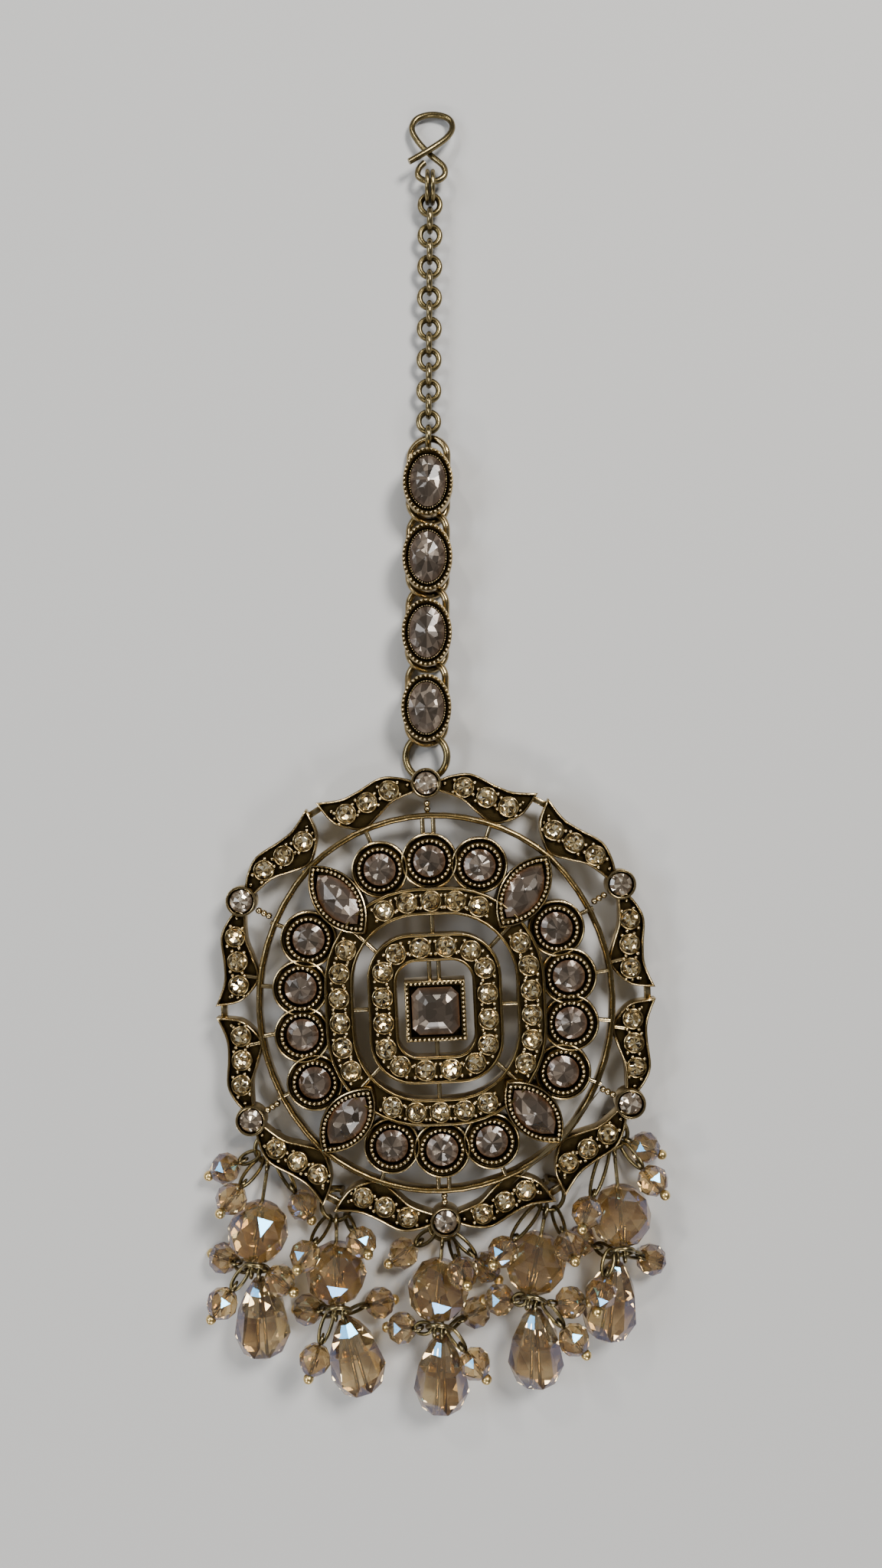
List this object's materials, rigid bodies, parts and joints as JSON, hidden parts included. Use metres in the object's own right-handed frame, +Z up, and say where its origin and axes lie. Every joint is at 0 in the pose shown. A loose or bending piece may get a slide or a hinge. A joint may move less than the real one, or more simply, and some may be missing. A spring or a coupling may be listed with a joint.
{
  "type": "maang tikka",
  "caption": "Head ornament lying face up: a wire hair hook, a link chain, oval stone links and a pierced, domed, stone-set pendant fringed with faceted bead drops.",
  "frame": {"origin": "middle of the whole piece's outline, on the surface that it lies on", "axes": "+Z up out of the ornament's face, +Y along the strand towards the hook, +X to the right as seen from above"},
  "size_m": [0.0604, 0.1718, 0.0117],
  "materials": {
    "antique_gold_wire": "drawn brass wire with a dark antique gold plating, worn bright on its high sides",
    "antique_gold_cast": "cast metal plated antique gold, dark in the recesses and bright on rims and grains",
    "mauve_stone": "foiled glass, greyish mauve, faceted to a point, glossy",
    "champagne_stone": "small foiled glass chatons, champagne yellow, glossy",
    "champagne_crystal": "clear peach cut glass with a faint blue lustre coat on its facets"
  },
  "bodies": {
    "root": {"hook": "antique_gold_wire", "hook_rings": "antique_gold_wire", "chain": "antique_gold_wire", "oval_setting_1": "antique_gold_cast", "oval_stone_1": "mauve_stone", "oval_setting_2": "antique_gold_cast", "oval_stone_2": "mauve_stone", "oval_setting_3": "antique_gold_cast", "oval_stone_3": "mauve_stone", "oval_setting_4": "antique_gold_cast", "oval_stone_4": "mauve_stone", "pendant_ring": "antique_gold_wire", "pendant_frame": "antique_gold_cast", "centre_stone": "mauve_stone", "marquise_stone_1": "mauve_stone", "marquise_stone_2": "mauve_stone", "marquise_stone_3": "mauve_stone", "marquise_stone_4": "mauve_stone", "round_stone_1": "mauve_stone", "round_stone_2": "mauve_stone", "round_stone_3": "mauve_stone", "round_stone_4": "mauve_stone", "round_stone_5": "mauve_stone", "round_stone_6": "mauve_stone", "round_stone_7": "mauve_stone", "round_stone_8": "mauve_stone", "round_stone_9": "mauve_stone", "round_stone_10": "mauve_stone", "round_stone_11": "mauve_stone", "round_stone_12": "mauve_stone", "round_stone_13": "mauve_stone", "round_stone_14": "mauve_stone", "collet_stone_1": "mauve_stone", "collet_stone_2": "mauve_stone", "collet_stone_3": "mauve_stone", "collet_stone_4": "mauve_stone", "collet_stone_5": "mauve_stone", "collet_stone_6": "mauve_stone", "drop_ring_1": "champagne_crystal", "bead_1": "champagne_crystal", "lower_ring_1": "champagne_crystal", "teardrop_1": "champagne_crystal", "drop_ring_2": "champagne_crystal", "bead_2": "champagne_crystal", "lower_ring_2": "champagne_crystal", "teardrop_2": "champagne_crystal", "drop_ring_3": "champagne_crystal", "bead_3": "champagne_crystal", "lower_ring_3": "champagne_crystal", "teardrop_3": "champagne_crystal", "drop_ring_4": "champagne_crystal", "bead_4": "champagne_crystal", "lower_ring_4": "champagne_crystal", "teardrop_4": "champagne_crystal", "drop_ring_5": "champagne_crystal", "bead_5": "champagne_crystal", "lower_ring_5": "champagne_crystal", "teardrop_5": "champagne_crystal"}
  },
  "joints": []
}
